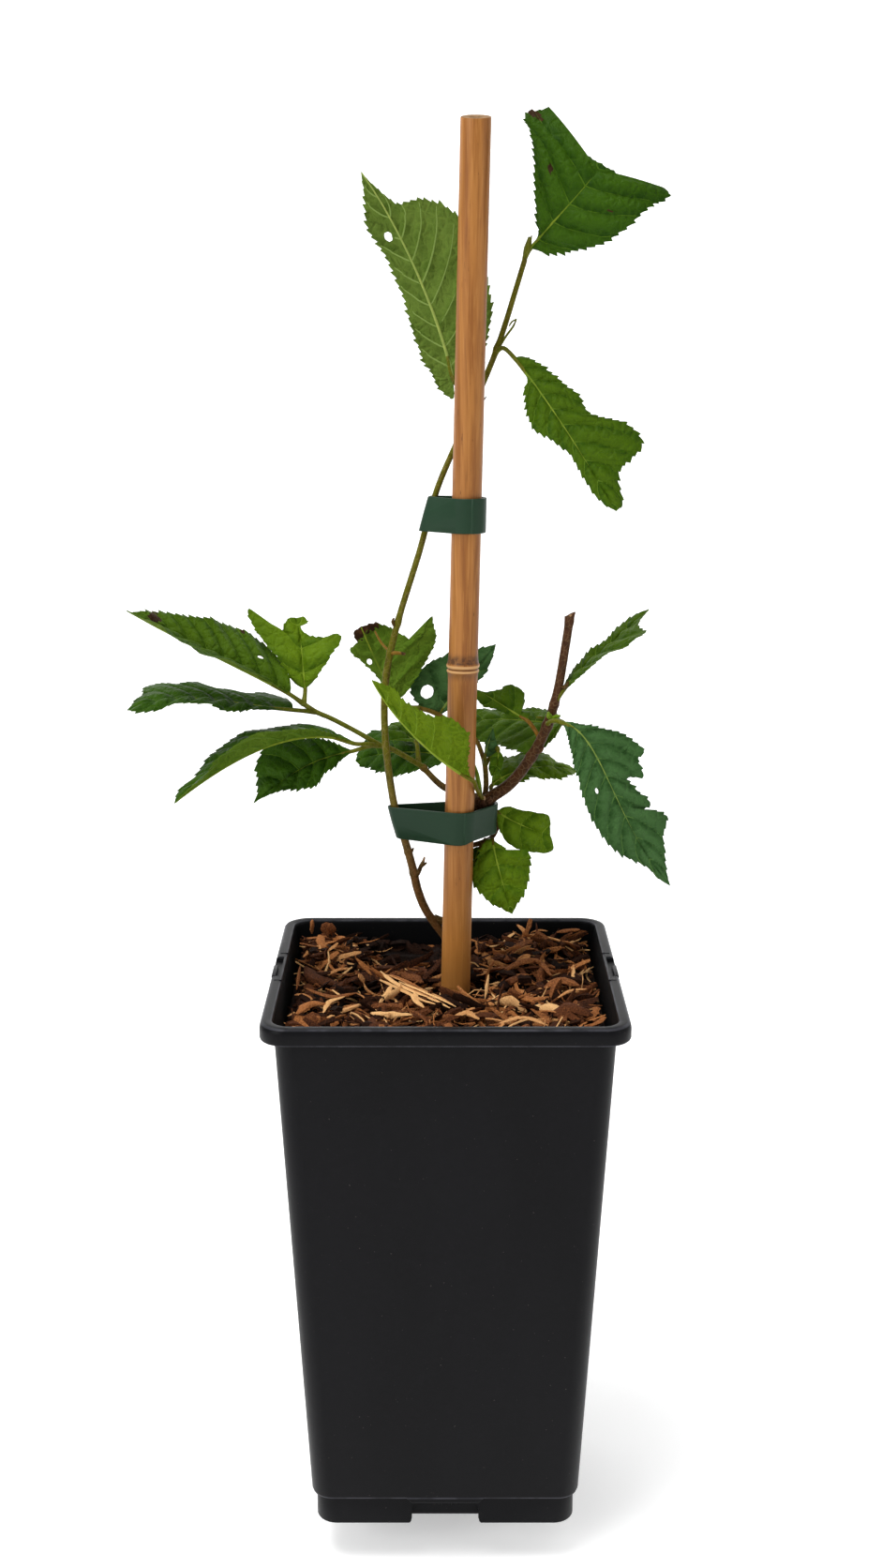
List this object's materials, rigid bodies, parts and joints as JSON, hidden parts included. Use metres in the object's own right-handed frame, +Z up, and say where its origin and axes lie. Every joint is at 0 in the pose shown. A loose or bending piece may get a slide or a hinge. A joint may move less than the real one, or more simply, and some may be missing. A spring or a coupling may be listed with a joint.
{
  "type": "potted nanking cherry",
  "caption": "Young fruit bush in a tall square nursery pot: a thin leader tied to a bamboo cane, a pruned side branch, and large toothed leaves.",
  "frame": {"origin": "middle of the pot's flat underside, where it stands", "axes": "+Z up along the cane and the leader, -Y towards the front of the picture, +X to the right of it"},
  "size_m": [0.2285, 0.15, 0.5915],
  "materials": {
    "pot": "satin black moulded plastic with light scuffs",
    "compost": "dark moist potting compost",
    "bark_mulch": "brown shredded bark with tan strands",
    "cane": "dry tan bamboo with a satin skin",
    "tie": "satin dark green plastic band",
    "bark": "thin brown young bark",
    "green_stem": "smooth olive-green young shoot",
    "leaf": "satin green leaf with pale veins"
  },
  "bodies": {
    "root": {"pot": "pot", "compost": "compost", "bark_mulch": "bark_mulch", "cane": "cane", "lower_tie": "tie", "upper_tie": "tie", "trunk": "bark", "leader": "green_stem", "pruned_branch": "bark", "left_branch": "bark", "left_spray": "leaf", "back_leaf": "leaf", "middle_spray": "leaf", "front_leaf": "leaf", "inner_leaf": "leaf", "right_back_leaf": "leaf", "right_low_back_leaf": "leaf", "right_top_leaf": "leaf", "right_front_leaf": "leaf", "low_spray": "leaf", "tip_leaf": "leaf", "top_right_leaf": "leaf", "top_left_leaf": "leaf"}
  },
  "joints": []
}
